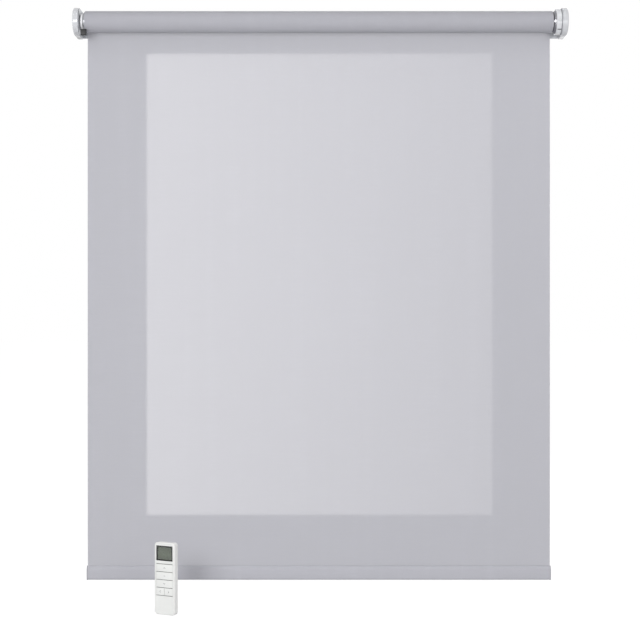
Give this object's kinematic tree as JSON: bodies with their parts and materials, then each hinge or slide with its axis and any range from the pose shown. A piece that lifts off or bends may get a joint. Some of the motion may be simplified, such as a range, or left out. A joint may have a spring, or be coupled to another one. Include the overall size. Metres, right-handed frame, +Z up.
{
  "type": "motorised roller blind",
  "caption": "Motorised roller blind: grey cloth rolled on an aluminium tube with a motor inside, hem bar, two wall brackets with round end covers, and a hand-held remote.",
  "frame": {"origin": "middle of the four wall screws, on the wall", "axes": "+X to the right as seen from the room, +Y into the wall, +Z up"},
  "size_m": [1, 0.1653, 1.2061],
  "materials": {
    "bracket_steel": "zinc-plated sheet steel",
    "cover_plastic": "moulded white",
    "black_plastic": "moulded black",
    "cap_plastic": "moulded grey",
    "aluminium": "extruded, clear anodised",
    "blind_cloth": "coated plain weave, pale grey",
    "adhesive_tape": "double-sided tape",
    "bush_nylon": "natural nylon",
    "bright_steel": "turned or plated steel",
    "case_steel": "dark coated steel tube",
    "light_pipe": "frosted light guide",
    "circuit_board": "green solder mask",
    "battery_wrap": "shrink wrap",
    "bearing_brass": "turned",
    "handset_plastic": "moulded white",
    "face_plastic": "satin light grey",
    "key_plastic": "satin light grey",
    "black_gloss": "gloss black",
    "clear_lens": "clear",
    "display_glass": "liquid crystal display, grey-green",
    "dark_rubber": "silicone mat"
  },
  "bodies": {
    "brackets": {"bracket_left": "bracket_steel", "bracket_right": "bracket_steel", "cover_left": "cover_plastic", "cover_right": "cover_plastic", "motor_head": "cover_plastic", "head_screws": "bright_steel", "status_light": "light_pipe", "charging_socket": "bright_steel", "motor_case": "case_steel", "control_board": "circuit_board", "battery_pack": "battery_wrap", "dc_motor": "bright_steel", "gearbox": "case_steel", "end_bearing": "bearing_brass"},
    "roller": {"roller_tube": "aluminium", "wound_cloth": "blind_cloth", "cloth_tape": "adhesive_tape", "idler_plug": "cover_plastic", "idler_bush": "bush_nylon", "idler_spring": "bright_steel", "motor_crown": "black_plastic", "output_shaft": "bright_steel", "drive_wheel": "black_plastic", "drive_clip": "bright_steel"},
    "lower_rail": {"hanging_cloth": "blind_cloth", "hem_pocket": "blind_cloth", "hem_bar": "aluminium", "hem_cap_left": "cap_plastic", "hem_cap_right": "cap_plastic"},
    "pin": {"idler_pin": "bright_steel"},
    "latch": {"pin_latch": "cover_plastic", "latch_grip": "black_plastic"},
    "button": {"setting_button": "cap_plastic"},
    "handset": {"handset_frame": "handset_plastic", "handset_back": "handset_plastic", "face_plate": "face_plastic", "display_bezel": "black_gloss", "display_lens": "clear_lens", "display_panel": "display_glass", "dome_mat": "dark_rubber", "key_grille": "black_plastic", "handset_board": "circuit_board", "battery_contacts": "bearing_brass", "coin_cell": "bright_steel", "handset_screws": "bright_steel"},
    "cell_cover": {"battery_cover": "handset_plastic"},
    "up_key": {"key_up": "key_plastic"},
    "stop_key": {"key_stop": "key_plastic"},
    "down_key": {"key_down": "key_plastic"},
    "previous_key": {"key_previous": "key_plastic"},
    "next_key": {"key_next": "key_plastic"}
  },
  "joints": [
    {"name": "roller_turn", "type": "hinge", "parent": "brackets", "child": "roller", "pos_m": [0, -0.036, 0], "axis": [1, 0, 0], "range_deg": [0, 2593]},
    {"name": "blind_lift", "type": "slide", "parent": "brackets", "child": "lower_rail", "axis": [0, 0, 1], "range_m": [0, 1.05], "deforming": ["hanging_cloth"]},
    {"name": "idler_pin_slide", "type": "slide", "parent": "brackets", "child": "pin", "axis": [1, 0, 0], "range_m": [0, 0.0062], "stiffness_N_per_m": 800, "springref_m": -0.004, "deforming": ["idler_spring"]},
    {"name": "pin_latch_swing", "type": "hinge", "parent": "brackets", "child": "latch", "pos_m": [-0.4871, -0.042, -0.014], "axis": [1, 0, 0], "range_deg": [0, 50], "stiffness_Nm_per_rad": 0.02, "springref_deg": -17.19},
    {"name": "setting_button_press", "type": "slide", "parent": "brackets", "child": "button", "axis": [0, 0.9135, 0.4067], "range_m": [0, 0.0005], "stiffness_N_per_m": 1500, "springref_m": -0.0003},
    {"name": "handset_lift", "type": "slide", "parent": "brackets", "child": "handset", "axis": [0, 0, 1], "range_m": [0, 0.15]},
    {"name": "battery_cover_twist", "type": "hinge", "parent": "handset", "child": "cell_cover", "pos_m": [-0.29746, -0.14456, -1.116], "axis": [0.4226, 0.9063, 0], "range_deg": [0, 45]},
    {"name": "key_up_press", "type": "slide", "parent": "handset", "child": "up_key", "axis": [0.4226, 0.9063, 0], "range_m": [0, 0.0008], "stiffness_N_per_m": 1200, "springref_m": -0.0003},
    {"name": "key_stop_press", "type": "slide", "parent": "handset", "child": "stop_key", "axis": [0.4226, 0.9063, 0], "range_m": [0, 0.0008], "stiffness_N_per_m": 1200, "springref_m": -0.0003},
    {"name": "key_down_press", "type": "slide", "parent": "handset", "child": "down_key", "axis": [0.4226, 0.9063, 0], "range_m": [0, 0.0008], "stiffness_N_per_m": 1200, "springref_m": -0.0003},
    {"name": "key_previous_press", "type": "slide", "parent": "handset", "child": "previous_key", "axis": [0.4226, 0.9063, 0], "range_m": [0, 0.0008], "stiffness_N_per_m": 1200, "springref_m": -0.0003},
    {"name": "key_next_press", "type": "slide", "parent": "handset", "child": "next_key", "axis": [0.4226, 0.9063, 0], "range_m": [0, 0.0008], "stiffness_N_per_m": 1200, "springref_m": -0.0003}
  ],
  "couplings": [
    {"joint": "blind_lift", "follows": "roller_turn", "m_per_rad": 0.0232}
  ]
}
